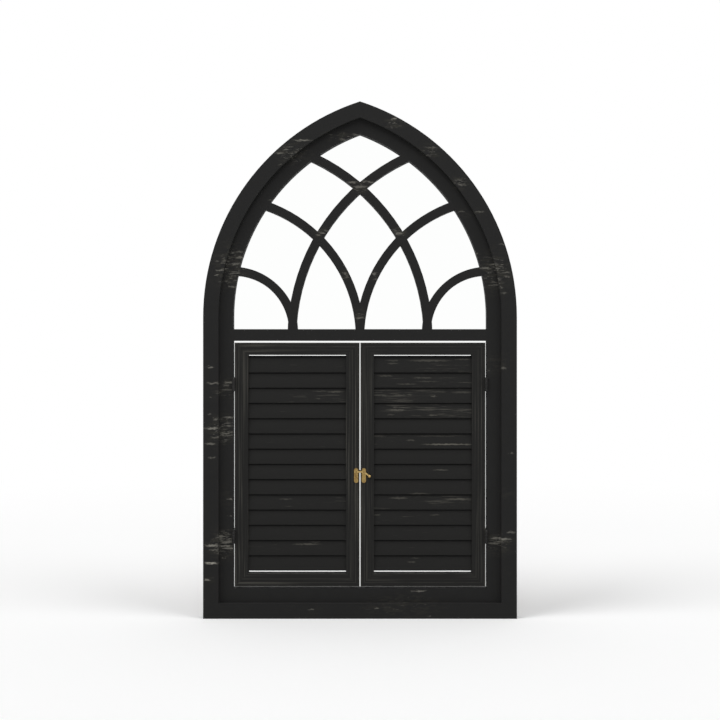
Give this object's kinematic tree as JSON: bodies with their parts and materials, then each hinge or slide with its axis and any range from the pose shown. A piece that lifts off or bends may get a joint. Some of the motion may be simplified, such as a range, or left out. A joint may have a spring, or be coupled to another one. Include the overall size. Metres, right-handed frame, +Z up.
{
  "type": "shutter mirror",
  "caption": "Pointed-arch mirror with window tracery above and a pair of hinged louvred shutter doors below, closed by a hook latch.",
  "frame": {"origin": "middle of the base, at half the depth", "axes": "+Z up, +X to the right seen from the front, the front faces -Y"},
  "size_m": [0.61, 0.032, 1.0058],
  "materials": {
    "frame_paint": "charcoal paint on board, distressed with pale scratches",
    "door_paint": "charcoal paint on wood, rubbed along the grain",
    "mirror": "silvered glass",
    "back_board": "bare hardboard",
    "black_metal": "black",
    "aged_brass": "antique, rubbed",
    "zinc_steel": "zinc plated"
  },
  "bodies": {
    "root": {"left_jamb": "frame_paint", "right_jamb": "frame_paint", "bottom_rail": "frame_paint", "left_arch": "frame_paint", "right_arch": "frame_paint", "tracery_panel": "frame_paint", "left_door_surround": "frame_paint", "right_door_surround": "frame_paint", "bottom_door_surround": "frame_paint", "mirror_glass": "mirror", "back_board": "back_board", "left_hanger_plate": "zinc_steel", "right_hanger_plate": "zinc_steel", "left_door_upper_hinge_frame_leaf": "black_metal", "left_door_lower_hinge_frame_leaf": "black_metal", "right_door_upper_hinge_frame_leaf": "black_metal", "right_door_lower_hinge_frame_leaf": "black_metal"},
    "left_door": {"left_door_hinge_stile": "door_paint", "left_door_meeting_stile": "door_paint", "left_door_top_rail": "door_paint", "left_door_bottom_rail": "door_paint", "left_door_slat_01": "door_paint", "left_door_slat_02": "door_paint", "left_door_slat_03": "door_paint", "left_door_slat_04": "door_paint", "left_door_slat_05": "door_paint", "left_door_slat_06": "door_paint", "left_door_slat_07": "door_paint", "left_door_slat_08": "door_paint", "left_door_slat_09": "door_paint", "left_door_slat_10": "door_paint", "left_door_slat_11": "door_paint", "left_door_slat_12": "door_paint", "left_door_slat_13": "door_paint", "left_door_slat_14": "door_paint", "left_door_upper_hinge_door_leaf": "black_metal", "left_door_lower_hinge_door_leaf": "black_metal", "catch_plate": "aged_brass"},
    "right_door": {"right_door_hinge_stile": "door_paint", "right_door_meeting_stile": "door_paint", "right_door_top_rail": "door_paint", "right_door_bottom_rail": "door_paint", "right_door_slat_01": "door_paint", "right_door_slat_02": "door_paint", "right_door_slat_03": "door_paint", "right_door_slat_04": "door_paint", "right_door_slat_05": "door_paint", "right_door_slat_06": "door_paint", "right_door_slat_07": "door_paint", "right_door_slat_08": "door_paint", "right_door_slat_09": "door_paint", "right_door_slat_10": "door_paint", "right_door_slat_11": "door_paint", "right_door_slat_12": "door_paint", "right_door_slat_13": "door_paint", "right_door_slat_14": "door_paint", "right_door_upper_hinge_door_leaf": "black_metal", "right_door_lower_hinge_door_leaf": "black_metal", "hook_plate": "aged_brass"},
    "hook": {"hook_lever": "aged_brass"}
  },
  "joints": [
    {"name": "left_door_swing", "type": "hinge", "parent": "root", "child": "left_door", "pos_m": [-0.24625, -0.00755, 0.2985], "axis": [0, 0, -1], "range_deg": [0, 155]},
    {"name": "right_door_swing", "type": "hinge", "parent": "root", "child": "right_door", "pos_m": [0.24625, -0.00755, 0.2985], "axis": [0, 0, 1], "range_deg": [0, 155]},
    {"name": "hook_swing", "type": "hinge", "parent": "right_door", "child": "hook", "pos_m": [0.0075, -0.01345, 0.28468], "axis": [0, 1, 0], "range_deg": [0, 100]}
  ]
}
